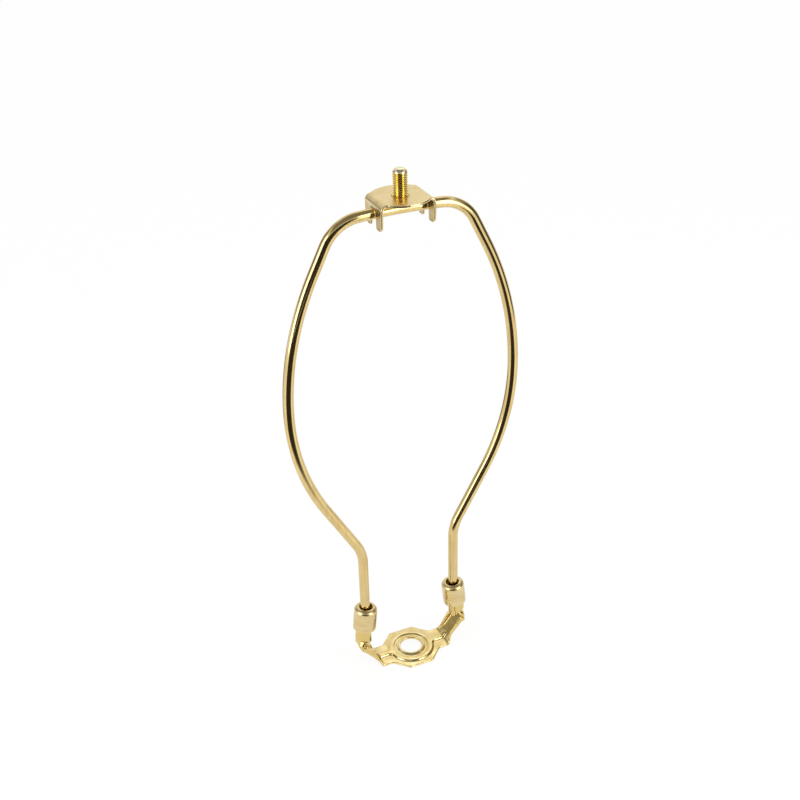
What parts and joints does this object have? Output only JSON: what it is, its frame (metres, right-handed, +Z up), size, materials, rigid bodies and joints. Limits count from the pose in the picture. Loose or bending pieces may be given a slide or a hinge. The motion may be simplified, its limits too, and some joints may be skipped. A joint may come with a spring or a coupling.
{
  "type": "lamp harp",
  "caption": "Bent wire bow with a threaded stud bracket on top and a stamped saddle below, locked by two sliding sleeves; it carries a lampshade over a bulb.",
  "frame": {"origin": "centre of the saddle's hole on the underside of its plate", "axes": "+Z up along the stud, X across the bow from the left leg to the right leg, +Y towards the back"},
  "size_m": [0.1132, 0.027, 0.2527],
  "materials": {
    "bow_brass": "polished",
    "bracket_brass": "satin",
    "stud_brass": "polished",
    "sleeve_brass": "polished",
    "saddle_brass": "polished"
  },
  "bodies": {
    "harp": {"saddle": "saddle_brass", "harp_wire": "bow_brass", "shade_bracket": "bracket_brass", "finial_stud": "stud_brass"},
    "left_lock": {"left_sleeve": "sleeve_brass"},
    "right_lock": {"right_sleeve": "sleeve_brass"}
  },
  "joints": [
    {"name": "left_sleeve_lift", "type": "slide", "parent": "harp", "child": "left_lock", "axis": [0, 0, 1], "range_m": [0, 0.026]},
    {"name": "right_sleeve_lift", "type": "slide", "parent": "harp", "child": "right_lock", "axis": [0, 0, 1], "range_m": [0, 0.026]}
  ]
}
